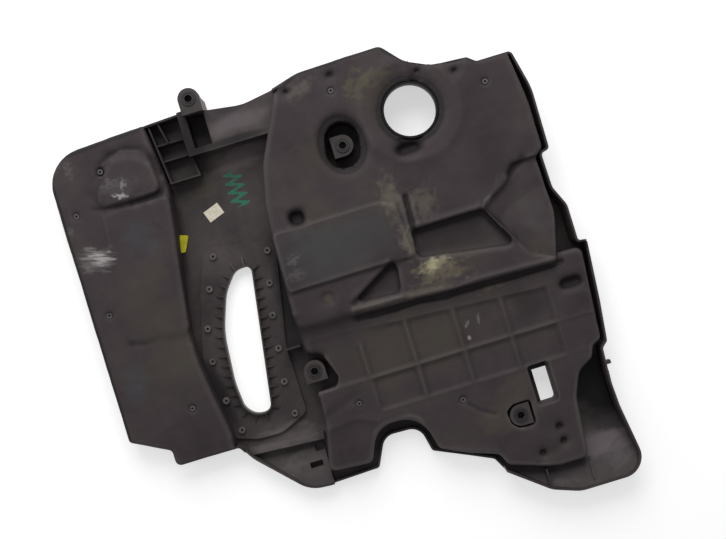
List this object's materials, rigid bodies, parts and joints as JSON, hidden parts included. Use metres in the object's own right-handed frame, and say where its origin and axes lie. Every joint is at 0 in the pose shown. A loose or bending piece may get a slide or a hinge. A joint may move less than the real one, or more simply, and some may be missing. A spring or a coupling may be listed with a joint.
{
  "type": "engine cover",
  "caption": "Flat plastic engine cover seen from its engine side, with foam liners, rubber push-on sockets, a slot window, an oil filler hole and a sloped wing.",
  "frame": {"origin": "centre of the bounding box, at the level of the front face that it lies on", "axes": "+Z points to the engine side, +Y from the wing to the ear, +X to the right as the engine side is seen"},
  "size_m": [0.6, 0.6, 0.053],
  "materials": {
    "moulded_plastic": "satin",
    "acoustic_foam": "matte",
    "trim_plastic": "satin",
    "grommet_rubber": "matte",
    "rivet_plastic": "satin",
    "label_paper": "matte",
    "tag_plastic": "satin"
  },
  "bodies": {
    "root": {"cover_shell": "moulded_plastic", "left_liner": "acoustic_foam", "right_liner": "acoustic_foam", "window_trim": "trim_plastic", "ear_grommet": "grommet_rubber", "upper_grommet": "grommet_rubber", "middle_grommet": "grommet_rubber", "lower_grommet": "grommet_rubber", "left_liner_pins": "rivet_plastic", "right_liner_pins": "rivet_plastic", "paper_label": "label_paper", "yellow_tag": "tag_plastic"}
  },
  "joints": []
}
